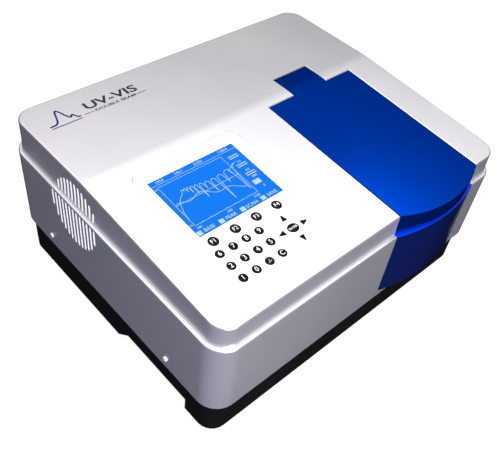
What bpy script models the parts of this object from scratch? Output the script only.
"""Bench spectrophotometer with a sloping control panel and a hinged sample lid.

Metres, +X to the operator's right, -Y towards the operator, +Z up.  The origin is under the
middle of the instrument, on the surface that its rubber feet stand on.
"""

import math

import bmesh
import bpy
from mathutils import Matrix, Vector

# ---------------------------------------------------------------- driving dimensions
GAP = 0.0003
WALL = 0.003
OVERSHOOT = 0.010
CUTTER_REACH = 0.050
CUTTER_HALF_WIDTH = 0.250

UPPER_HALF_WIDTH = 0.2210
UPPER_FRONT = -0.1778
UPPER_BACK = 0.1868
UPPER_CORNER = 0.0220
SIDE_LEDGE = 0.0052
END_LEDGE = 0.0048
LOWER_HALF_WIDTH = UPPER_HALF_WIDTH + SIDE_LEDGE
LOWER_FRONT = UPPER_FRONT - END_LEDGE
LOWER_BACK = UPPER_BACK + END_LEDGE
LOWER_CORNER = UPPER_CORNER + END_LEDGE

COVER_BOTTOM = 0.0542
LEDGE_HEIGHT = 0.1597
LEDGE_RISE = 0.0109
TOP = 0.2030
CREASE_Y = 0.0434
SLOPE = math.radians(4.34)

FOOT_HEIGHT = 0.0040
BASE_BOTTOM = FOOT_HEIGHT
BASE_RIM = 0.0760
BASE_FLOOR_LOW = 0.0240
BASE_FLOOR_HIGH = 0.0270
BASE_LEFT = -0.2222
BASE_RIGHT = 0.2202
BASE_FRONT = -0.1766
BASE_BACK = 0.1856
BASE_CORNER = 0.0200
BASE_WALL = 0.0025
GRIP_FRONT = -0.1340
GRIP_BACK = -0.0095
GRIP_SLANT = 0.0195
GRIP_TOP = 0.0220
GRIP_DEPTH = 0.0080
FOOT_PLACES = [(x, y) for x in (-0.190, 0.188) for y in (-0.152, 0.152)]
FOOT_RADIUS = 0.0120
FOOT_BOSS_RADIUS = 0.0140

LID_LEFT = 0.0307
LID_RIGHT = 0.1747
LID_BACK = 0.0313
TAB_LEFT = 0.0743
TAB_RIGHT = 0.1311
TAB_BACK = 0.0702
LID_GAP = 0.0008
LID_THICKNESS = 0.0030
LID_FRONT_END = -0.1775
LID_BULGE = 0.0183
LID_BLANK_LOW = 0.1700
LID_BLANK_HIGH = 0.2200
RIM_BOTTOM = 0.1584
RIM_JOIN = 0.1960
FINGER_GAP_TOP = 0.1660
FINGER_GAP_END = 0.0015
FINGER_GAP_SLANT = 0.0070
HINGE_RADIUS = 0.0052
HINGE_Y = TAB_BACK - HINGE_RADIUS
HINGE_Z = TOP - HINGE_RADIUS
PIN_RADIUS = 0.0013
PIN_GAP = 0.0001
BRACKET_BOTTOM = 0.1830
BRACKET_WEB_TOP = 0.1865
BRACKET_EAR = 0.0070
BRACKET_HALF_DEPTH = 0.0050
EAR_CLEARANCE = 0.0010

PANEL_FRONT_END = -0.1829
PANEL_BULGE = 0.0117
PANEL_BOTTOM = 0.0645
PANEL_TOP = 0.1578
SHELF_BACK = -0.1712

BEAM_HEIGHT = 0.1180
BEAM_YS = (-0.100, -0.050)
WELL_LOW = (0.0330, -0.1690, 0.0800)
WELL_HIGH = (0.1724, 0.0280, 0.2200)
WELL_WALL = 0.0020
BEAM_WINDOW = 0.0060
HOLDER_HALF_WIDTH = 0.0140
HOLDER_END = 0.0160
HOLDER_HEIGHT = 0.0280
CELL_X = 0.1030
CELL_HALF = 0.00625
CELL_GAP = 0.0004
CELL_WALL = 0.00125
CELL_FLOOR = 0.0040
CELL_HEIGHT = 0.0450
CELL_FILL = 0.0423

OVERLAY_LEFT = -0.1767
OVERLAY_RIGHT_BACK = -0.0345
OVERLAY_RIGHT_FRONT = -0.0485
OVERLAY_BACK = 0.0252
OVERLAY_FRONT = -0.1528
OVERLAY_STEP_BACK = -0.0600
OVERLAY_STEP_FRONT = -0.1050
OVERLAY_CORNER = 0.0095
OVERLAY_THICKNESS = 0.0025
SCREEN_LEFT = -0.1658
SCREEN_WIDTH = 0.1152
SCREEN_FRONT = -0.0777
SCREEN_DEPTH = 0.0864
SCREEN_GAP = 0.0004
GLASS_TOP = -0.0004
GLASS_BOTTOM = -0.0060
DISPLAY_BOTTOM = -0.0115
DISPLAY_SIDE = 0.0055
DISPLAY_FRONT = 0.0040
DISPLAY_BACK = 0.0075

KEY_TRAVEL = 0.0005
KEY_PROUD = 0.0005
KEY_HEIGHT = 0.0038
KEY_CLEARANCE = 0.0004
DIGIT_RADIUS = 0.0049
DIGIT_PITCH = 0.01735
DIGIT_LEFT = -0.1630
DIGIT_BACK = -0.1050
FUNCTION_RADIUS = 0.0058
FUNCTION_LEFT = -0.1580
FUNCTION_Y = -0.0893
FUNCTION_PITCH = SCREEN_WIDTH / 4
CURSOR_X = -0.0790
CURSOR_Y = -0.1223
CURSOR_REACH = 0.0119
ARROW_LENGTH = 0.0080
ARROW_WIDTH = 0.0062
ENTER_HALF_WIDTH = 0.0070
ENTER_HALF_DEPTH = 0.0056
BOARD_THICKNESS = 0.0016

VENT_Y = 0.0601
VENT_Z = 0.1490
VENT_RADIUS = 0.0423
VENT_PITCH = 0.00668
VENT_COUNT = 13
VENT_SLOT = 0.0031
VENT_BELOW_LEDGE = 0.0025
VENT_ABOVE_LEDGE = 0.0016
FILTER_HALF = 0.0440
FAN_X = -0.2005
FAN_DEPTH = 0.0250
FAN_HALF = 0.0460
FAN_BORE = 0.0435
FAN_CORNER = 0.0040
STRUT_DEPTH = 0.0040
STRUT_HALF_WIDTH = 0.0020
STRUT_HALF_LENGTH = 0.0445
MOTOR_PLATE_RADIUS = 0.0170
ROTOR_DEPTH = 0.0170
ROTOR_RECESS = 0.0020
ROTOR_HUB_RADIUS = 0.0180
BLADE_COUNT = 7
BLADE_ROOT = 0.0160
BLADE_TIP = 0.0415
BLADE_HALF_CHORD = 0.0075
BLADE_HALF_THICKNESS = 0.0008
BLADE_PITCH = math.radians(35)

SCREW_Z = 0.0688
SCREW_YS = (-0.1038, 0.1183)
SCREW_HEAD_RADIUS = 0.0032
SCREW_HEAD_THICKNESS = 0.0012
SCREW_SHANK_X = 0.2225
SCREW_SHANK_RADIUS = 0.0013
SCREW_SHANK_LENGTH = 0.0088
SCREW_HOLE_X = 0.2215
SCREW_HOLE_RADIUS = 0.0018
SCREW_HOLE_LENGTH = 0.0160

REAR_LEFT = -0.1940
REAR_RIGHT = -0.0500
REAR_LOW = 0.0790
REAR_HIGH = 0.1450
REAR_FACE = LOWER_BACK - WALL
REAR_MOST = 0.1958
REAR_MARGIN = 0.0040
REAR_SHEET = 0.0020
PORT_Z = 0.1120

MODULE_LEFT = -0.1865
MODULE_RIGHT = -0.1254
MODULE_FRONT = 0.1700
MODULE_HALF_HEIGHT = 0.0108
MODULE_FLANGE = 0.0025
FLANGE_LEFT = -0.1900
FLANGE_RIGHT = -0.1225
FLANGE_HALF_HEIGHT = 0.0140
MODULE_HOLE_X = -0.1560
MODULE_HOLE_HALF = (0.0310, 0.0112)
INLET_X = -0.1680
COLLAR_HALF = (0.0145, 0.0115)
SOCKET_HALF = (0.0122, 0.0084)
SOCKET_DEPTH = 0.0160
INLET_CORNER = 0.0030
ROCKER_X = -0.1365
ROCKER_Y = 0.1912
ROCKER_TILT = math.radians(8)
ROCKER_HALF_WIDTH = 0.0062
ROCKER_HALF_HEIGHT = 0.0096
POCKET_HALF = (0.0070, 0.0104)
POCKET_FRONT = 0.1850
POCKET_BACK = 0.2000

PORTS_X = -0.0850
PORTS_HOLE_HALF = (0.0240, 0.0070)
PORTS_BLOCK_HALF = (0.0235, 0.0067)
PORTS_FLANGE_HALF = (0.0270, 0.0085)
PORTS_FRONT = 0.1780
PORTS_FLANGE = 0.0012
NINE_PIN_LEFT = -0.0210
NINE_PIN_RIGHT = -0.0035
NINE_PIN_HALF_HEIGHT = 0.0042
NINE_PIN_DEPTH = 0.0055
SQUARE_LEFT = 0.0075
SQUARE_RIGHT = 0.0195
SQUARE_HALF_HEIGHT = 0.0055
SQUARE_DEPTH = 0.0030

BENCH_LOW = (-0.1400, -0.1660, 0.0660)
BENCH_HIGH = (0.2120, 0.1740, 0.0740)
BENCH_LEG_PLACES = [(x, y) for x in (-0.125, 0.198) for y in (-0.150, 0.162)]
BENCH_LEG_RADIUS = 0.0070
OPTICS_FLOOR = BENCH_HIGH[2] + GAP
MONOCHROMATOR_LOW = (-0.1300, -0.1300, OPTICS_FLOOR)
MONOCHROMATOR_HIGH = (0.0280, 0.1620, 0.1500)
MONOCHROMATOR_WALL = 0.0030
SLIT_HALF_WIDTH = 0.0040
SLIT_HALF_HEIGHT = 0.0060
GRATING = (-0.070, 0.060, BEAM_HEIGHT)
GRATING_TABLE_RADIUS = 0.0170
GRATING_TABLE_Z = -0.0345
GRATING_TABLE_THICKNESS = 0.0060
GRATING_HALF = (0.0040, 0.0150)
GRATING_BOTTOM = -0.0340
GRATING_TOP = 0.0170
FILTER_WHEEL = (0.0365, 0.115, BEAM_HEIGHT)
WHEEL_RADIUS = 0.0280
WHEEL_THICKNESS = 0.0040
FILTER_SEATS = 6
FILTER_CIRCLE = 0.0180
FILTER_RADIUS = 0.0060
LAMP_HOUSE_LOW = (0.0450, 0.0780, OPTICS_FLOOR)
LAMP_HOUSE_HIGH = (0.1600, 0.1700, 0.1500)
THIN_WALL = 0.0025
LAMP_WINDOW = 0.0080
DEUTERIUM_PLACE = (0.080, 0.150)
DEUTERIUM_RADIUS = 0.0130
DEUTERIUM_HEIGHT = 0.0600
HALOGEN_PLACE = (0.125, 0.115)
HALOGEN_RADIUS = 0.0070
HALOGEN_HEIGHT = 0.0500
SOURCE_MIRROR = (0.080, 0.115, BEAM_HEIGHT)
MIRROR_HALF = 0.0120
MIRROR_HALF_THICKNESS = 0.0015
MIRROR_SHAFT_RADIUS = 0.0030
MIRROR_REST = math.radians(-45)
DETECTOR_LOW = (0.1760, -0.1180, OPTICS_FLOOR)
DETECTOR_HIGH = (0.2120, -0.0320, 0.1450)
DETECTOR_WINDOW = 0.0050
MAIN_BOARD_LOW = (-0.2120, -0.1600, 0.0330)
MAIN_BOARD_HIGH = (-0.1480, 0.0900, 0.0346)
POWER_SUPPLY_LOW = (-0.2150, 0.1000, 0.0330)
POWER_SUPPLY_HIGH = (-0.1500, 0.1650, 0.0950)

# ---------------------------------------------------------------- scene and materials
for leftover in list(bpy.data.objects):
    bpy.data.objects.remove(leftover, do_unlink=True)

PARTS = bpy.data.collections.new("spectrophotometer")
CUTTERS = bpy.data.collections.new("cutters")
bpy.context.scene.collection.children.link(PARTS)
bpy.context.scene.collection.children.link(CUTTERS)

MATERIALS = {
    "silver_casing": ((0.62, 0.62, 0.66), 0.35, 0.55),
    "black_base": ((0.015, 0.015, 0.016), 0.55, 0.0),
    "blue_lid": ((0.005, 0.045, 0.40), 0.22, 0.0),
    "blue_front": ((0.004, 0.020, 0.20), 0.15, 0.0),
    "white_overlay": ((0.88, 0.89, 0.90), 0.35, 0.0),
    "key_black": ((0.018, 0.016, 0.035), 0.45, 0.0),
    "display": ((0.03, 0.25, 0.95), 0.15, 0.0),
    "steel": ((0.70, 0.70, 0.72), 0.28, 1.0),
    "rubber": ((0.02, 0.02, 0.02), 0.85, 0.0),
    "black_anodised": ((0.02, 0.02, 0.022), 0.50, 0.6),
    "bench_aluminium": ((0.72, 0.73, 0.75), 0.35, 1.0),
    "circuit_board": ((0.01, 0.20, 0.08), 0.50, 0.0),
    "black_plastic": ((0.03, 0.03, 0.032), 0.45, 0.0),
    "filter_white": ((0.85, 0.85, 0.88), 0.90, 0.0),
    "lamp_glass": ((0.85, 0.90, 0.95), 0.05, 0.0),
    "mirror_coat": ((0.90, 0.90, 0.92), 0.05, 1.0),
}


def material(slot):
    """Return the named Principled material, made the first time it is asked for."""
    found = bpy.data.materials.get(slot)
    if found:
        return found
    color, roughness, metallic = MATERIALS[slot]
    made = bpy.data.materials.new(slot)
    made.use_nodes = True
    shader = made.node_tree.nodes["Principled BSDF"]
    shader.inputs["Base Color"].default_value = (*color, 1.0)
    shader.inputs["Roughness"].default_value = roughness
    shader.inputs["Metallic"].default_value = metallic
    made.diffuse_color = (*color, 1.0)
    return made


# ---------------------------------------------------------------- shape helpers
def finish_mesh(mesh, smooth_angle=math.radians(30)):
    """Weld a mesh, turn its faces outwards and shade its round parts smooth."""
    work = bmesh.new()
    work.from_mesh(mesh)
    bmesh.ops.remove_doubles(work, verts=work.verts, dist=0.000001)
    bmesh.ops.recalc_face_normals(work, faces=work.faces)
    work.to_mesh(mesh)
    work.free()
    mesh.shade_smooth()
    mesh.set_sharp_from_angle(angle=smooth_angle)


def place(name, mesh, slot=None, location=(0, 0, 0), parent=None):
    """Add an object to the parts, or to the cutters when it has no material slot."""
    obj = bpy.data.objects.new(name, mesh)
    obj.location = location
    if parent:
        obj.parent = parent
    if slot:
        PARTS.objects.link(obj)
        mesh.materials.append(material(slot))
    else:
        CUTTERS.objects.link(obj)
        obj.hide_render = True
        obj.display_type = "WIRE"
    return obj


def box(name, low, high, slot=None, parent=None):
    """Make a box between two corners, with its origin at its centre."""
    size = Vector(high) - Vector(low)
    centre = (Vector(high) + Vector(low)) / 2
    work = bmesh.new()
    bmesh.ops.create_cube(work, size=1.0)
    bmesh.ops.scale(work, vec=size, verts=work.verts)
    mesh = bpy.data.meshes.new(name)
    work.to_mesh(mesh)
    work.free()
    return place(name, mesh, slot, centre, parent)


AXIS_TURNS = {
    "X": Matrix.Rotation(math.radians(90), 4, "Y"),
    "Y": Matrix.Rotation(math.radians(-90), 4, "X"),
    "Z": Matrix.Identity(4),
}


def cylinder(name, centre, radius, length, axis="Z", slot=None, parent=None, sides=24):
    """Make a cylinder about its centre, along X, Y or Z."""
    work = bmesh.new()
    bmesh.ops.create_cone(
        work, cap_ends=True, segments=sides, radius1=radius, radius2=radius, depth=length
    )
    bmesh.ops.transform(work, matrix=AXIS_TURNS[axis], verts=work.verts)
    mesh = bpy.data.meshes.new(name)
    work.to_mesh(mesh)
    work.free()
    finish_mesh(mesh)
    return place(name, mesh, slot, centre, parent)


AXIS_ORDER = {"X": (2, 0, 1), "Y": (0, 2, 1), "Z": (0, 1, 2)}


def prism(name, outlines, low, high, axis="Z", slot=None, parent=None):
    """Fill flat outlines and extrude them from low to high along an axis.

    Outline points are (y, z) for the X axis, (x, z) for Y and (x, y) for Z.
    Outlines inside the first one are holes.
    """
    curve = bpy.data.curves.new(name, "CURVE")
    curve.dimensions = "2D"
    curve.fill_mode = "BOTH"
    curve.extrude = (high - low) / 2
    for outline in outlines:
        spline = curve.splines.new("POLY")
        spline.points.add(len(outline) - 1)
        for point, (u, v) in zip(spline.points, outline):
            point.co = (u, v, 0, 1)
        spline.use_cyclic_u = True
    drawn = bpy.data.objects.new(name, curve)
    CUTTERS.objects.link(drawn)
    bpy.context.view_layer.update()
    evaluated = drawn.evaluated_get(bpy.context.evaluated_depsgraph_get())
    mesh = bpy.data.meshes.new_from_object(evaluated)
    bpy.data.objects.remove(drawn, do_unlink=True)
    mesh.name = name
    middle = (low + high) / 2
    order = AXIS_ORDER[axis]
    for vertex in mesh.vertices:
        flat = (vertex.co.x, vertex.co.y, vertex.co.z + middle)
        vertex.co = [flat[order[0]], flat[order[1]], flat[order[2]]]
    finish_mesh(mesh)
    return place(name, mesh, slot, (0, 0, 0), parent)


def rounded_rectangle(left, right, front, back, radius, steps=6):
    """Return a rectangle's outline with each corner an arc."""
    corners = (
        (right - radius, back - radius, 0),
        (left + radius, back - radius, 90),
        (left + radius, front + radius, 180),
        (right - radius, front + radius, 270),
    )
    points = []
    for x, y, start in corners:
        for step in range(steps + 1):
            angle = math.radians(start + 90 * step / steps)
            points.append((x + radius * math.cos(angle), y + radius * math.sin(angle)))
    return points


def rounded_polygon(corners, radius, steps=4):
    """Round each corner of a polygon with an arc tangent to its two sides."""
    points = []
    for index, corner in enumerate(corners):
        here = Vector(corner)
        before = (Vector(corners[index - 1]) - here).normalized()
        after = (Vector(corners[(index + 1) % len(corners)]) - here).normalized()
        half = before.angle(after) / 2
        centre = here + (before + after).normalized() * (radius / math.sin(half))
        start = here + before * (radius / math.tan(half)) - centre
        end = here + after * (radius / math.tan(half)) - centre
        sweep = start.angle_signed(end)
        for step in range(steps + 1):
            turn = Matrix.Rotation(-sweep * step / steps, 2)
            points.append(tuple(centre + turn @ start))
    return points


def circle(x, y, radius, sides=16, squash=1.0):
    """Return a circle's outline, or an ellipse's when squash is not 1."""
    angles = (math.tau * side / sides for side in range(sides))
    return [(x + radius * math.cos(a), y + radius * squash * math.sin(a)) for a in angles]


def bulged_line(left, right, end_y, bulge, steps=16):
    """Return an arc from left to right that bulges towards the front."""
    half = (right - left) / 2
    radius = (half * half + bulge * bulge) / (2 * bulge)
    reach = math.asin(half / radius)
    middle = (left + right) / 2
    points = []
    for step in range(steps + 1):
        angle = reach * (2 * step / steps - 1)
        x = middle + radius * math.sin(angle)
        y = end_y - bulge + radius * (1 - math.cos(angle))
        points.append((x, y))
    return points


def combine(obj, tool, operation):
    """Add an exact Boolean to an object."""
    step = obj.modifiers.new(tool.name, "BOOLEAN")
    step.operation = operation
    step.solver = "EXACT"
    step.object = tool


def cut(obj, *tools):
    """Take tools away from an object."""
    for tool in tools:
        combine(obj, tool, "DIFFERENCE")


def join(obj, *tools):
    """Fuse tools to an object."""
    for tool in tools:
        combine(obj, tool, "UNION")


def top_height(y, below=0.0):
    """Height of the casing's top at y, or of a surface a distance below it."""
    drop = below / math.cos(SLOPE)
    return TOP - drop - math.tan(SLOPE) * max(0.0, CREASE_Y - y)


def sky_cutter(name, below):
    """Make the solid of everything over the casing's two top planes, lowered by below."""
    front = LOWER_FRONT - CUTTER_REACH
    back = LOWER_BACK + CUTTER_REACH
    above = TOP + 2 * CUTTER_REACH
    crease = CREASE_Y + below * math.tan(SLOPE / 2)
    sloped = TOP - below - math.tan(SLOPE) * (crease - front)
    outline = [(front, sloped), (crease, TOP - below), (back, TOP - below), (back, above), (front, above)]
    return prism(name, [outline], -CUTTER_HALF_WIDTH, CUTTER_HALF_WIDTH, "X")


def raise_with_depth(obj, threshold):
    """Tilt an upright prism's top so that it rises towards the back, as the ledge does."""
    for vertex in obj.data.vertices:
        if vertex.co.z > threshold:
            vertex.co.z += LEDGE_RISE * vertex.co.y


# ---------------------------------------------------------------- casing
PANEL_FRAME = bpy.data.objects.new("control_panel_plane", None)
PANEL_FRAME.location = (0, 0, top_height(0))
PANEL_FRAME.rotation_euler = (SLOPE, 0, 0)
PARTS.objects.link(PANEL_FRAME)


def tier(name, inset, low, high, lower, slot=None):
    """Make one tier of the casing as a rounded slab, inset from its outer face."""
    half = (LOWER_HALF_WIDTH if lower else UPPER_HALF_WIDTH) - inset
    front = (LOWER_FRONT if lower else UPPER_FRONT) + inset
    back = (LOWER_BACK if lower else UPPER_BACK) - inset
    radius = (LOWER_CORNER if lower else UPPER_CORNER) - inset
    outline = rounded_rectangle(-half, half, front, back, radius)
    return prism(name, [outline], low, high, slot=slot)


def lid_outline(grow):
    """Outline of the lid seen from above, grown by a clearance, without its bulged front."""
    return [
        (LID_RIGHT + grow, LID_BACK + grow),
        (TAB_RIGHT + grow, LID_BACK + grow),
        (TAB_RIGHT + grow, TAB_BACK + grow),
        (TAB_LEFT - grow, TAB_BACK + grow),
        (TAB_LEFT - grow, LID_BACK + grow),
        (LID_LEFT - grow, LID_BACK + grow),
    ]


def overlay_outline(grow):
    """Outline of the control panel, whose right side steps in towards the front."""
    return rounded_polygon(
        [
            (OVERLAY_LEFT - grow, OVERLAY_FRONT - grow),
            (OVERLAY_RIGHT_FRONT + grow, OVERLAY_FRONT - grow),
            (OVERLAY_RIGHT_FRONT + grow, OVERLAY_STEP_FRONT),
            (OVERLAY_RIGHT_BACK + grow, OVERLAY_STEP_BACK),
            (OVERLAY_RIGHT_BACK + grow, OVERLAY_BACK + grow),
            (OVERLAY_LEFT - grow, OVERLAY_BACK + grow),
        ],
        OVERLAY_CORNER,
    )


def vent_slots():
    """Make the upright slots that fill a circle on the left wall, broken where the ledge runs."""
    left = -LOWER_HALF_WIDTH - OVERSHOOT
    right = -UPPER_HALF_WIDTH + OVERSHOOT
    slots = []
    for index in range(VENT_COUNT):
        offset = (index - (VENT_COUNT - 1) / 2) * VENT_PITCH
        reach = math.sqrt(VENT_RADIUS**2 - offset**2)
        y = VENT_Y + offset
        ledge = LEDGE_HEIGHT + LEDGE_RISE * y
        spans = (
            ("lower", VENT_Z - reach, min(VENT_Z + reach, ledge - VENT_BELOW_LEDGE)),
            ("upper", ledge + VENT_ABOVE_LEDGE, VENT_Z + reach),
        )
        for tier_name, low, high in spans:
            if high - low > VENT_SLOT:
                slot_low = (left, y - VENT_SLOT / 2, low)
                slot_high = (right, y + VENT_SLOT / 2, high)
                slots.append(box(f"{tier_name}_vent_slot_{index}", slot_low, slot_high))
    return slots


def screw_hole(side, y):
    """Make the clearance hole of a side screw, through casing and base."""
    name = f"screw_hole_{'left' if side < 0 else 'right'}_{y:.2f}"
    centre = (side * SCREW_HOLE_X, y, SCREW_Z)
    return cylinder(name, centre, SCREW_HOLE_RADIUS, SCREW_HOLE_LENGTH, "X", sides=12)


SCREW_HOLES = [screw_hole(side, y) for side in (-1, 1) for y in SCREW_YS]


def make_casing_cover():
    """Make the two-tier silver cover, open below, with all its openings."""
    half_way = (COVER_BOTTOM + LEDGE_HEIGHT) / 2
    cover = tier("casing_cover", 0.0, COVER_BOTTOM, LEDGE_HEIGHT, True, "silver_casing")
    raise_with_depth(cover, half_way)
    join(cover, tier("upper_tier", 0.0, LEDGE_HEIGHT - OVERSHOOT, TOP + OVERSHOOT, False))
    cut(cover, sky_cutter("over_the_top", 0.0))

    cavity = tier("lower_cavity", WALL, COVER_BOTTOM - OVERSHOOT, LEDGE_HEIGHT - WALL, True)
    raise_with_depth(cavity, half_way)
    join(cavity, tier("upper_cavity", WALL, half_way, TOP + OVERSHOOT, False))
    cut(cavity, sky_cutter("under_the_top", WALL))
    cut(cover, cavity)

    front = LOWER_FRONT - OVERSHOOT
    around_lid = lid_outline(LID_GAP)
    around_lid += [(LID_LEFT - LID_GAP, front), (LID_RIGHT + LID_GAP, front)]
    cut(cover, prism("lid_opening", [around_lid], PANEL_BOTTOM - GAP, TOP + CUTTER_REACH))
    panel_hole = prism(
        "control_panel_opening", [overlay_outline(GAP)], -OVERSHOOT, OVERSHOOT, parent=PANEL_FRAME
    )
    cut(cover, panel_hole)
    rear = box(
        "rear_opening",
        (REAR_LEFT, LOWER_BACK - OVERSHOOT, REAR_LOW),
        (REAR_RIGHT, LOWER_BACK + OVERSHOOT, REAR_HIGH),
    )
    cut(cover, rear, *vent_slots(), *SCREW_HOLES)


def make_base_tray():
    """Make the black tray with its floor raised inside a skirt and two hand grips."""
    outline = rounded_rectangle(BASE_LEFT, BASE_RIGHT, BASE_FRONT, BASE_BACK, BASE_CORNER)
    tray = prism("base_tray", [outline], BASE_BOTTOM, BASE_RIM, slot="black_base")
    inner = rounded_rectangle(
        BASE_LEFT + BASE_WALL,
        BASE_RIGHT - BASE_WALL,
        BASE_FRONT + BASE_WALL,
        BASE_BACK - BASE_WALL,
        BASE_CORNER - BASE_WALL,
    )
    below = BASE_BOTTOM - OVERSHOOT
    cut(tray, prism("tray_inside", [inner], BASE_FLOOR_HIGH, BASE_RIM + OVERSHOOT))
    cut(tray, prism("tray_underside", [inner], below, BASE_FLOOR_LOW))
    slant_below = GRIP_SLANT * OVERSHOOT / (GRIP_TOP - BASE_BOTTOM)
    grip = [
        (GRIP_FRONT, below),
        (GRIP_BACK + slant_below, below),
        (GRIP_BACK - GRIP_SLANT, GRIP_TOP),
        (GRIP_FRONT, GRIP_TOP),
    ]
    cut(tray, prism("left_grip_notch", [grip], BASE_LEFT - OVERSHOOT, BASE_LEFT + GRIP_DEPTH, "X"))
    cut(tray, prism("right_grip_notch", [grip], BASE_RIGHT - GRIP_DEPTH, BASE_RIGHT + OVERSHOOT, "X"))
    boss_low = BASE_BOTTOM + GAP
    boss_high = BASE_FLOOR_LOW + GAP
    for index, (x, y) in enumerate(FOOT_PLACES):
        centre = (x, y, (boss_low + boss_high) / 2)
        boss = cylinder(f"foot_boss_{index}", centre, FOOT_BOSS_RADIUS, boss_high - boss_low, sides=16)
        join(tray, boss)
    cut(tray, *SCREW_HOLES)


def make_feet():
    """Make the four rubber feet under the tray's bosses."""
    names = ("front_left_foot", "rear_left_foot", "front_right_foot", "rear_right_foot")
    for name, (x, y) in zip(names, FOOT_PLACES):
        cylinder(name, (x, y, FOOT_HEIGHT / 2), FOOT_RADIUS, FOOT_HEIGHT, slot="rubber", sides=20)


def make_side_screws():
    """Make the screws that hold the cover to the tray."""
    head_x = LOWER_HALF_WIDTH + GAP + SCREW_HEAD_THICKNESS / 2
    for side, side_name in ((-1, "left"), (1, "right")):
        for y, end_name in zip(SCREW_YS, ("front", "rear")):
            name = f"{end_name}_{side_name}_screw"
            head_place = (side * head_x, y, SCREW_Z)
            shank_place = (side * SCREW_SHANK_X, y, SCREW_Z)
            screw = cylinder(
                name, head_place, SCREW_HEAD_RADIUS, SCREW_HEAD_THICKNESS, "X", "steel", sides=12
            )
            shank = cylinder(
                f"{name}_shank", shank_place, SCREW_SHANK_RADIUS, SCREW_SHANK_LENGTH, "X", sides=8
            )
            join(screw, shank)


# ---------------------------------------------------------------- sample lid and its hinge
def make_sample_lid():
    """Make the blue lid: a bent plate, a front rim with a finger gap and a hinge nose on its tab."""
    plate_outline = [
        (LID_RIGHT, LID_BACK),
        (TAB_RIGHT, LID_BACK),
        (TAB_RIGHT, HINGE_Y),
        (TAB_LEFT, HINGE_Y),
        (TAB_LEFT, LID_BACK),
        (LID_LEFT, LID_BACK),
    ]
    plate_outline += bulged_line(LID_LEFT, LID_RIGHT, LID_FRONT_END, LID_BULGE)
    hinge = (0, HINGE_Y, HINGE_Z)
    lid = prism("sample_lid", [plate_outline], LID_BLANK_LOW, LID_BLANK_HIGH, slot="blue_lid")
    in_front = LOWER_FRONT - CUTTER_REACH
    under_plate = [
        (in_front, top_height(in_front, LID_THICKNESS)),
        (CREASE_Y, top_height(CREASE_Y, LID_THICKNESS)),
        (LOWER_BACK, top_height(CREASE_Y, LID_THICKNESS)),
        (LOWER_BACK, RIM_BOTTOM - OVERSHOOT),
        (in_front, RIM_BOTTOM - OVERSHOOT),
    ]
    cut(lid, prism("under_lid_plate", [under_plate], -CUTTER_HALF_WIDTH, CUTTER_HALF_WIDTH, "X"))
    rim = bulged_line(LID_LEFT, LID_RIGHT, LID_FRONT_END, LID_BULGE)
    rim += bulged_line(LID_LEFT, LID_RIGHT, LID_FRONT_END + LID_THICKNESS, LID_BULGE)[::-1]
    join(lid, prism("lid_rim", [rim], RIM_BOTTOM, RIM_JOIN))
    gap_left = LID_LEFT + FINGER_GAP_END
    gap_right = LID_RIGHT - FINGER_GAP_END
    finger_gap = [
        (gap_left, RIM_BOTTOM - OVERSHOOT),
        (gap_right, RIM_BOTTOM - OVERSHOOT),
        (gap_right, RIM_BOTTOM),
        (gap_right - FINGER_GAP_SLANT, FINGER_GAP_TOP),
        (gap_left + FINGER_GAP_SLANT, FINGER_GAP_TOP),
        (gap_left, RIM_BOTTOM),
    ]
    cut(lid, prism("finger_gap", [finger_gap], LOWER_FRONT - CUTTER_REACH, LID_BACK, "Y"))
    cut(lid, sky_cutter("over_the_lid", 0.0))
    nose_length = TAB_RIGHT - TAB_LEFT
    nose_centre = ((TAB_LEFT + TAB_RIGHT) / 2, HINGE_Y, HINGE_Z)
    join(lid, cylinder("lid_nose", nose_centre, HINGE_RADIUS, nose_length, "X", sides=24))
    bore_length = nose_length + 2 * OVERSHOOT
    cut(lid, cylinder("lid_nose_bore", nose_centre, PIN_RADIUS + PIN_GAP, bore_length, "X"))
    lid.data.transform(Matrix.Translation(-Vector(hinge)))
    lid.location = hinge


def make_lid_hinge():
    """Make the hinge pin and the bracket whose two ears carry it under the casing's top."""
    middle = (TAB_LEFT + TAB_RIGHT) / 2
    inner_half = (TAB_RIGHT - TAB_LEFT) / 2 + EAR_CLEARANCE
    outer_half = inner_half + BRACKET_EAR
    top = TOP - WALL - GAP
    outline = [
        (middle - outer_half, BRACKET_BOTTOM),
        (middle + outer_half, BRACKET_BOTTOM),
        (middle + outer_half, top),
        (middle + inner_half, top),
        (middle + inner_half, BRACKET_WEB_TOP),
        (middle - inner_half, BRACKET_WEB_TOP),
        (middle - inner_half, top),
        (middle - outer_half, top),
    ]
    front = HINGE_Y - BRACKET_HALF_DEPTH
    back = HINGE_Y + BRACKET_HALF_DEPTH
    bracket = prism("lid_hinge_bracket", [outline], front, back, "Y", "steel")
    centre = (middle, HINGE_Y, HINGE_Z)
    bore_length = 2 * (outer_half + OVERSHOOT)
    cut(bracket, cylinder("bracket_bore", centre, PIN_RADIUS + GAP, bore_length, "X"))
    cylinder("lid_hinge_pin", centre, PIN_RADIUS, 2 * outer_half, "X", "steel")


def make_front_panel():
    """Make the bulged blue front of the sample bay, with the shelf that the lid's rim meets."""
    outer = bulged_line(LID_LEFT, LID_RIGHT, PANEL_FRONT_END, PANEL_BULGE)
    inner = bulged_line(LID_LEFT, LID_RIGHT, PANEL_FRONT_END + WALL, PANEL_BULGE)[::-1]
    panel = prism("sample_bay_front", [outer + inner], PANEL_BOTTOM, PANEL_TOP, slot="blue_front")
    shelf = outer + [(LID_RIGHT, SHELF_BACK), (LID_LEFT, SHELF_BACK)]
    join(panel, prism("front_shelf", [shelf], PANEL_TOP - WALL, PANEL_TOP))


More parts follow.
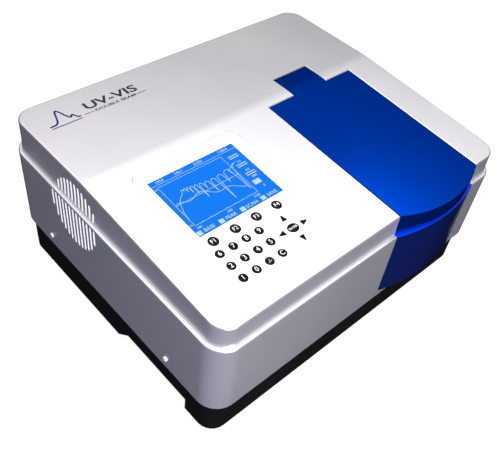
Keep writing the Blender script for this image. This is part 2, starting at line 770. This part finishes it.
def make_sample_well():
    """Make the black sample well under the lid, open above, with two beam windows a side."""
    well = box("sample_well", WELL_LOW, WELL_HIGH, "black_anodised")
    cut(well, sky_cutter("over_the_well", LID_THICKNESS + LID_GAP))
    pocket_low = [value + WELL_WALL for value in WELL_LOW]
    pocket_high = (WELL_HIGH[0] - WELL_WALL, WELL_HIGH[1] - WELL_WALL, WELL_HIGH[2] + OVERSHOOT)
    cut(well, box("well_pocket", pocket_low, pocket_high))
    window_length = WELL_HIGH[0] - WELL_LOW[0] + 2 * OVERSHOOT
    for index, y in enumerate(BEAM_YS):
        centre = ((WELL_LOW[0] + WELL_HIGH[0]) / 2, y, BEAM_HEIGHT)
        cut(well, cylinder(f"beam_window_{index}", centre, BEAM_WINDOW, window_length, "X", sides=12))


def make_cell_holder():
    """Make the holder in the well with a square pocket in each beam, and its two cuvettes."""
    floor = WELL_LOW[2] + WELL_WALL + GAP
    holder_top = floor + HOLDER_HEIGHT
    holder = box(
        "cell_holder",
        (CELL_X - HOLDER_HALF_WIDTH, BEAM_YS[0] - HOLDER_END, floor),
        (CELL_X + HOLDER_HALF_WIDTH, BEAM_YS[1] + HOLDER_END, holder_top),
        "bench_aluminium",
    )
    pocket_half = CELL_HALF + CELL_GAP
    pocket_floor = floor + CELL_FLOOR
    cell_floor = pocket_floor + GAP
    inside = CELL_HALF - CELL_WALL
    for name, y in zip(("sample_cuvette", "reference_cuvette"), BEAM_YS):
        pocket = box(
            f"{name}_pocket",
            (CELL_X - pocket_half, y - pocket_half, pocket_floor),
            (CELL_X + pocket_half, y + pocket_half, holder_top + OVERSHOOT),
        )
        cut(holder, pocket)
        cuvette = box(
            name,
            (CELL_X - CELL_HALF, y - CELL_HALF, cell_floor),
            (CELL_X + CELL_HALF, y + CELL_HALF, cell_floor + CELL_HEIGHT),
            "lamp_glass",
        )
        headspace = box(
            f"{name}_headspace",
            (CELL_X - inside, y - inside, pocket_floor + CELL_FILL),
            (CELL_X + inside, y + inside, cell_floor + CELL_HEIGHT + OVERSHOOT),
        )
        cut(cuvette, headspace)


# ---------------------------------------------------------------- control panel, display and keys
def key_places():
    """Return each key's name, kind, centre in the panel plane and turn about its normal."""
    places = []
    for index in range(4):
        x = FUNCTION_LEFT + index * FUNCTION_PITCH
        places.append((f"key_f{index + 1}", "function", x, FUNCTION_Y, 0))
    rows = (("6", "7", "8", "9"), ("2", "3", "4", "5"), ("1", "0", "point", "clear"))
    for row, names in enumerate(rows):
        for column, name in enumerate(names):
            x = DIGIT_LEFT + column * DIGIT_PITCH
            y = DIGIT_BACK - row * DIGIT_PITCH
            places.append((f"key_{name}", "digit", x, y, 0))
    places.append(("key_enter", "enter", CURSOR_X, CURSOR_Y, 0))
    for name, turn in (("right", 0), ("up", 90), ("left", 180), ("down", 270)):
        x = CURSOR_X + CURSOR_REACH * math.cos(math.radians(turn))
        y = CURSOR_Y + CURSOR_REACH * math.sin(math.radians(turn))
        places.append((f"key_{name}", "arrow", x, y, turn))
    return places


def key_outline(kind, x, y, turn, grow=0.0):
    """Outline of a key about x, y: a circle, an oval or a triangle pointing along its turn."""
    if kind == "digit":
        return circle(x, y, DIGIT_RADIUS + grow)
    if kind == "function":
        return circle(x, y, FUNCTION_RADIUS + grow)
    if kind == "enter":
        squash = (ENTER_HALF_DEPTH + grow) / (ENTER_HALF_WIDTH + grow)
        return circle(x, y, ENTER_HALF_WIDTH + grow, 20, squash)
    half = ARROW_WIDTH / 2
    spread = grow * (ARROW_LENGTH + math.hypot(ARROW_LENGTH, half)) / half
    tip = ARROW_LENGTH + spread
    wide = (tip + grow) * half / ARROW_LENGTH
    triangle = [(-grow, -wide), (tip, 0.0), (-grow, wide)]
    angle = math.radians(turn)
    cos, sin = math.cos(angle), math.sin(angle)
    return [(x + u * cos - v * sin, y + u * sin + v * cos) for u, v in triangle]


def make_keys():
    """Make each key as its own cap, with its origin at its place in the panel plane."""
    for name, kind, x, y, turn in key_places():
        outline = key_outline(kind, 0, 0, turn)
        low = KEY_PROUD - KEY_HEIGHT
        cap = prism(name, [outline], low, KEY_PROUD, slot="key_black", parent=PANEL_FRAME)
        cap.location = (x, y, 0)


def make_control_panel():
    """Make the white panel plate with the display's window and a hole for each key."""
    left = SCREEN_LEFT - SCREEN_GAP
    right = SCREEN_LEFT + SCREEN_WIDTH + SCREEN_GAP
    front = SCREEN_FRONT - SCREEN_GAP
    back = SCREEN_FRONT + SCREEN_DEPTH + SCREEN_GAP
    window = [(left, front), (right, front), (right, back), (left, back)]
    holes = [key_outline(kind, x, y, turn, KEY_CLEARANCE) for _, kind, x, y, turn in key_places()]
    outlines = [overlay_outline(0.0), window] + holes
    low = -OVERLAY_THICKNESS
    prism("control_panel", outlines, low, 0.0, slot="white_overlay", parent=PANEL_FRAME)


def make_display():
    """Make the display module: its glass fills the panel's window from below."""
    right = SCREEN_LEFT + SCREEN_WIDTH
    back = SCREEN_FRONT + SCREEN_DEPTH
    display = box(
        "display_module",
        (SCREEN_LEFT - DISPLAY_SIDE, SCREEN_FRONT - DISPLAY_FRONT, DISPLAY_BOTTOM),
        (right + DISPLAY_SIDE, back + DISPLAY_BACK, -OVERLAY_THICKNESS - GAP),
        "display",
        PANEL_FRAME,
    )
    glass_low = (SCREEN_LEFT, SCREEN_FRONT, GLASS_BOTTOM)
    glass = box("display_glass", glass_low, (right, back, GLASS_TOP), parent=PANEL_FRAME)
    join(display, glass)


def make_keypad_board():
    """Make the board with the switches under the keys."""
    top = KEY_PROUD - KEY_HEIGHT - KEY_TRAVEL - GAP
    box(
        "keypad_board",
        (OVERLAY_LEFT + 0.004, OVERLAY_FRONT + 0.003, top - BOARD_THICKNESS),
        (OVERLAY_RIGHT_FRONT - 0.002, SCREEN_FRONT - DISPLAY_FRONT - 0.0005, top),
        "circuit_board",
        PANEL_FRAME,
    )


# ---------------------------------------------------------------- ventilation
def make_fan():
    """Make the square fan frame with its motor mount, and its seven-bladed rotor."""
    outline = rounded_rectangle(
        VENT_Y - FAN_HALF, VENT_Y + FAN_HALF, VENT_Z - FAN_HALF, VENT_Z + FAN_HALF, FAN_CORNER, 2
    )
    bore = circle(VENT_Y, VENT_Z, FAN_BORE, 24)
    low = FAN_X - FAN_DEPTH / 2
    high = FAN_X + FAN_DEPTH / 2
    frame = prism("fan_frame", [outline, bore], low, high, "X", "black_plastic")
    strut_spans = ((STRUT_HALF_LENGTH, STRUT_HALF_WIDTH), (STRUT_HALF_WIDTH, STRUT_HALF_LENGTH))
    for index, (half_y, half_z) in enumerate(strut_spans):
        strut = box(
            f"fan_strut_{index}",
            (high - STRUT_DEPTH, VENT_Y - half_y, VENT_Z - half_z),
            (high, VENT_Y + half_y, VENT_Z + half_z),
        )
        join(frame, strut)
    plate_place = (high - STRUT_DEPTH / 2, VENT_Y, VENT_Z)
    join(frame, cylinder("fan_motor_plate", plate_place, MOTOR_PLATE_RADIUS, STRUT_DEPTH, "X", sides=16))

    rotor_x = low + ROTOR_RECESS + ROTOR_DEPTH / 2
    rotor = cylinder(
        "fan_rotor", (0, 0, 0), ROTOR_HUB_RADIUS, ROTOR_DEPTH, "X", "black_plastic", sides=20
    )
    rotor.location = (rotor_x, VENT_Y, VENT_Z)
    for index in range(BLADE_COUNT):
        blade = box(
            f"fan_blade_{index}",
            (-BLADE_HALF_CHORD, -BLADE_HALF_THICKNESS, BLADE_ROOT),
            (BLADE_HALF_CHORD, BLADE_HALF_THICKNESS, BLADE_TIP),
        )
        blade.data.transform(Matrix.Translation(blade.location))
        blade.data.transform(Matrix.Rotation(BLADE_PITCH, 4, "Z"))
        blade.data.transform(Matrix.Rotation(math.tau * index / BLADE_COUNT, 4, "X"))
        blade.location = rotor.location
        join(rotor, blade)


def make_vent_filter():
    """Make the pale filter pad between the vent slots and the fan."""
    back = FAN_X - FAN_DEPTH / 2 - GAP
    box(
        "vent_filter",
        (-UPPER_HALF_WIDTH + WALL + GAP, VENT_Y - FILTER_HALF, VENT_Z - FILTER_HALF),
        (back, VENT_Y + FILTER_HALF, VENT_Z + FILTER_HALF),
        "filter_white",
    )


# ---------------------------------------------------------------- rear panel
def centred(x, z, half, radius, steps=2):
    """Return a rounded rectangle's outline about x, z, from its half width and half height."""
    return rounded_rectangle(x - half[0], x + half[0], z - half[1], z + half[1], radius, steps)


def make_rear_panel():
    """Make the plate behind the casing's rear opening, with a hole for each module."""
    high = REAR_FACE - GAP
    outline = [
        (REAR_LEFT - REAR_MARGIN, REAR_LOW - REAR_MARGIN / 2),
        (REAR_RIGHT + REAR_MARGIN, REAR_LOW - REAR_MARGIN / 2),
        (REAR_RIGHT + REAR_MARGIN, REAR_HIGH + REAR_MARGIN),
        (REAR_LEFT - REAR_MARGIN, REAR_HIGH + REAR_MARGIN),
    ]
    holes = [
        centred(MODULE_HOLE_X, PORT_Z, MODULE_HOLE_HALF, GAP, 1),
        centred(PORTS_X, PORT_Z, PORTS_HOLE_HALF, GAP, 1),
    ]
    prism("rear_panel", [outline] + holes, high - REAR_SHEET, high, "Y", "silver_casing")


def make_mains_module():
    """Make the mains module: appliance inlet with a raised collar, and the rocker's pocket."""
    module = box(
        "mains_module",
        (MODULE_LEFT, MODULE_FRONT, PORT_Z - MODULE_HALF_HEIGHT),
        (MODULE_RIGHT, REAR_FACE + GAP, PORT_Z + MODULE_HALF_HEIGHT),
        "black_plastic",
    )
    flange = box(
        "module_flange",
        (FLANGE_LEFT, REAR_FACE, PORT_Z - FLANGE_HALF_HEIGHT),
        (FLANGE_RIGHT, REAR_FACE + MODULE_FLANGE, PORT_Z + FLANGE_HALF_HEIGHT),
    )
    collar = centred(INLET_X, PORT_Z, COLLAR_HALF, INLET_CORNER)
    socket = centred(INLET_X, PORT_Z, SOCKET_HALF, INLET_CORNER)
    pocket = box(
        "rocker_pocket",
        (ROCKER_X - POCKET_HALF[0], POCKET_FRONT, PORT_Z - POCKET_HALF[1]),
        (ROCKER_X + POCKET_HALF[0], POCKET_BACK, PORT_Z + POCKET_HALF[1]),
    )
    join(module, flange, prism("inlet_collar", [collar], REAR_FACE, REAR_MOST, "Y"))
    cut(module, prism("inlet_socket", [socket], REAR_MOST - SOCKET_DEPTH, REAR_MOST + OVERSHOOT, "Y"))
    cut(module, pocket)


def make_rocker():
    """Make the power rocker, a shallow V that tilts in its pocket, resting off."""
    profile = [
        (-0.0015, -ROCKER_HALF_HEIGHT),
        (0.0026, -ROCKER_HALF_HEIGHT),
        (0.0010, 0.0),
        (0.0026, ROCKER_HALF_HEIGHT),
        (-0.0015, ROCKER_HALF_HEIGHT),
        (-0.0035, 0.0),
    ]
    cos, sin = math.cos(ROCKER_TILT), math.sin(ROCKER_TILT)
    tilted = [(y * cos - z * sin, y * sin + z * cos) for y, z in profile]
    rocker = prism(
        "power_rocker", [tilted], -ROCKER_HALF_WIDTH, ROCKER_HALF_WIDTH, "X", "black_plastic"
    )
    rocker.location = (ROCKER_X, ROCKER_Y, PORT_Z)


def make_interface_ports():
    """Make the block with the nine-pin and the square data connectors."""
    block_half_width, block_half_height = PORTS_BLOCK_HALF
    flange_half_width, flange_half_height = PORTS_FLANGE_HALF
    block = box(
        "interface_ports",
        (PORTS_X - block_half_width, PORTS_FRONT, PORT_Z - block_half_height),
        (PORTS_X + block_half_width, REAR_FACE + GAP, PORT_Z + block_half_height),
        "steel",
    )
    flange = box(
        "ports_flange",
        (PORTS_X - flange_half_width, REAR_FACE, PORT_Z - flange_half_height),
        (PORTS_X + flange_half_width, REAR_FACE + PORTS_FLANGE, PORT_Z + flange_half_height),
    )
    shell = rounded_rectangle(
        PORTS_X + NINE_PIN_LEFT,
        PORTS_X + NINE_PIN_RIGHT,
        PORT_Z - NINE_PIN_HALF_HEIGHT,
        PORT_Z + NINE_PIN_HALF_HEIGHT,
        0.002,
        2,
    )
    square = rounded_rectangle(
        PORTS_X + SQUARE_LEFT,
        PORTS_X + SQUARE_RIGHT,
        PORT_Z - SQUARE_HALF_HEIGHT,
        PORT_Z + SQUARE_HALF_HEIGHT,
        0.001,
        1,
    )
    join(block, flange)
    join(block, prism("nine_pin_shell", [shell], REAR_FACE, REAR_FACE + NINE_PIN_DEPTH, "Y"))
    join(block, prism("square_port_shell", [square], REAR_FACE, REAR_FACE + SQUARE_DEPTH, "Y"))


# ---------------------------------------------------------------- optics and electronics
def open_box(name, low, high, wall, slot):
    """Make a box that is open at the top."""
    body = box(name, low, high, slot)
    inner_low = [value + wall for value in low]
    inner_high = (high[0] - wall, high[1] - wall, high[2] + OVERSHOOT)
    cut(body, box(f"{name}_inside", inner_low, inner_high))
    return body


def in_own_frame(piece, location):
    """Bake a piece's place into its mesh, then give it the place that it turns about."""
    piece.data.transform(Matrix.Translation(piece.location))
    piece.location = location
    return piece


def make_optical_bench():
    """Make the cast plate that carries the optics, on four legs."""
    bench = box("optical_bench", BENCH_LOW, BENCH_HIGH, "bench_aluminium")
    leg_low = BASE_FLOOR_HIGH + GAP
    leg_high = BENCH_LOW[2] + 0.002
    for index, (x, y) in enumerate(BENCH_LEG_PLACES):
        centre = (x, y, (leg_low + leg_high) / 2)
        leg = cylinder(f"bench_leg_{index}", centre, BENCH_LEG_RADIUS, leg_high - leg_low, sides=12)
        join(bench, leg)


def make_monochromator():
    """Make the monochromator box and the grating that turns in it."""
    housing = open_box(
        "monochromator_housing",
        MONOCHROMATOR_LOW,
        MONOCHROMATOR_HIGH,
        MONOCHROMATOR_WALL,
        "black_anodised",
    )
    wall_x = MONOCHROMATOR_HIGH[0]
    for index, y in enumerate((*BEAM_YS, FILTER_WHEEL[1])):
        slit = box(
            f"beam_slit_{index}",
            (wall_x - OVERSHOOT, y - SLIT_HALF_WIDTH, BEAM_HEIGHT - SLIT_HALF_HEIGHT),
            (wall_x + OVERSHOOT, y + SLIT_HALF_WIDTH, BEAM_HEIGHT + SLIT_HALF_HEIGHT),
        )
        cut(housing, slit)
    grating = cylinder(
        "diffraction_grating",
        (0, 0, GRATING_TABLE_Z),
        GRATING_TABLE_RADIUS,
        GRATING_TABLE_THICKNESS,
        slot="mirror_coat",
        sides=20,
    )
    block = box(
        "grating_block",
        (-GRATING_HALF[0], -GRATING_HALF[1], GRATING_BOTTOM),
        (GRATING_HALF[0], GRATING_HALF[1], GRATING_TOP),
    )
    join(in_own_frame(grating, GRATING), in_own_frame(block, GRATING))


def make_filter_wheel():
    """Make the wheel of order-sorting filters between lamp house and monochromator."""
    wheel = cylinder("filter_wheel", FILTER_WHEEL, WHEEL_RADIUS, WHEEL_THICKNESS, "X", "black_anodised")
    x, wheel_y, wheel_z = FILTER_WHEEL
    for index in range(FILTER_SEATS):
        angle = math.tau * index / FILTER_SEATS
        y = wheel_y + FILTER_CIRCLE * math.cos(angle)
        z = wheel_z + FILTER_CIRCLE * math.sin(angle)
        seat = cylinder(f"filter_seat_{index}", (x, y, z), FILTER_RADIUS, 2 * OVERSHOOT, "X", sides=12)
        cut(wheel, seat)


def make_lamp_house():
    """Make the lamp house with its two lamps and the mirror that chooses between them."""
    house = open_box("lamp_house", LAMP_HOUSE_LOW, LAMP_HOUSE_HIGH, THIN_WALL, "bench_aluminium")
    window_place = (LAMP_HOUSE_LOW[0], FILTER_WHEEL[1], BEAM_HEIGHT)
    cut(house, cylinder("lamp_window", window_place, LAMP_WINDOW, 2 * OVERSHOOT, "X", sides=12))
    floor = LAMP_HOUSE_LOW[2] + THIN_WALL + GAP
    lamps = (
        ("deuterium_lamp", DEUTERIUM_PLACE, DEUTERIUM_RADIUS, DEUTERIUM_HEIGHT, 16),
        ("halogen_lamp", HALOGEN_PLACE, HALOGEN_RADIUS, HALOGEN_HEIGHT, 12),
    )
    for name, place_xy, radius, height, sides in lamps:
        centre = (*place_xy, floor + height / 2)
        cylinder(name, centre, radius, height, slot="lamp_glass", sides=sides)
    mirror = box(
        "source_mirror",
        (-MIRROR_HALF_THICKNESS, -MIRROR_HALF, -MIRROR_HALF),
        (MIRROR_HALF_THICKNESS, MIRROR_HALF, MIRROR_HALF),
        "mirror_coat",
    )
    shaft_length = SOURCE_MIRROR[2] - floor
    shaft = cylinder(
        "mirror_shaft", (0, 0, -shaft_length / 2), MIRROR_SHAFT_RADIUS, shaft_length, sides=12
    )
    for piece in (mirror, shaft):
        in_own_frame(piece, SOURCE_MIRROR).rotation_euler = (0, 0, MIRROR_REST)
    join(mirror, shaft)


def make_detector_housing():
    """Make the detector housing beside the sample well."""
    body = open_box("detector_housing", DETECTOR_LOW, DETECTOR_HIGH, THIN_WALL, "black_anodised")
    for index, y in enumerate(BEAM_YS):
        centre = (DETECTOR_LOW[0], y, BEAM_HEIGHT)
        window = cylinder(
            f"detector_window_{index}", centre, DETECTOR_WINDOW, 2 * OVERSHOOT, "X", sides=12
        )
        cut(body, window)


def make_main_board():
    """Make the main circuit board with its larger components, each a place, a size and a height."""
    board = box("main_board", MAIN_BOARD_LOW, MAIN_BOARD_HIGH, "circuit_board")
    sunk = (MAIN_BOARD_LOW[2] + MAIN_BOARD_HIGH[2]) / 2
    components = (
        (-0.200, -0.140, 0.024, 0.024, 0.004),
        (-0.175, -0.090, 0.024, 0.030, 0.004),
        (-0.205, -0.040, 0.012, 0.060, 0.012),
        (-0.180, 0.000, 0.018, 0.018, 0.016),
        (-0.205, 0.050, 0.040, 0.020, 0.010),
    )
    for index, (x, y, width, depth, height) in enumerate(components):
        corner = (x + width, y + depth, MAIN_BOARD_HIGH[2] + height)
        join(board, box(f"board_component_{index}", (x, y, sunk), corner))


def make_power_supply():
    """Make the boxed power supply at the back left."""
    box("power_supply", POWER_SUPPLY_LOW, POWER_SUPPLY_HIGH, "steel")


# ---------------------------------------------------------------- assembly
make_casing_cover()
make_base_tray()
make_feet()
make_side_screws()
make_sample_lid()
make_lid_hinge()
make_front_panel()
make_sample_well()
make_cell_holder()
make_control_panel()
make_display()
make_keypad_board()
make_keys()
make_fan()
make_vent_filter()
make_rear_panel()
make_mains_module()
make_rocker()
make_interface_ports()
make_optical_bench()
make_monochromator()
make_filter_wheel()
make_lamp_house()
make_detector_housing()
make_main_board()
make_power_supply()
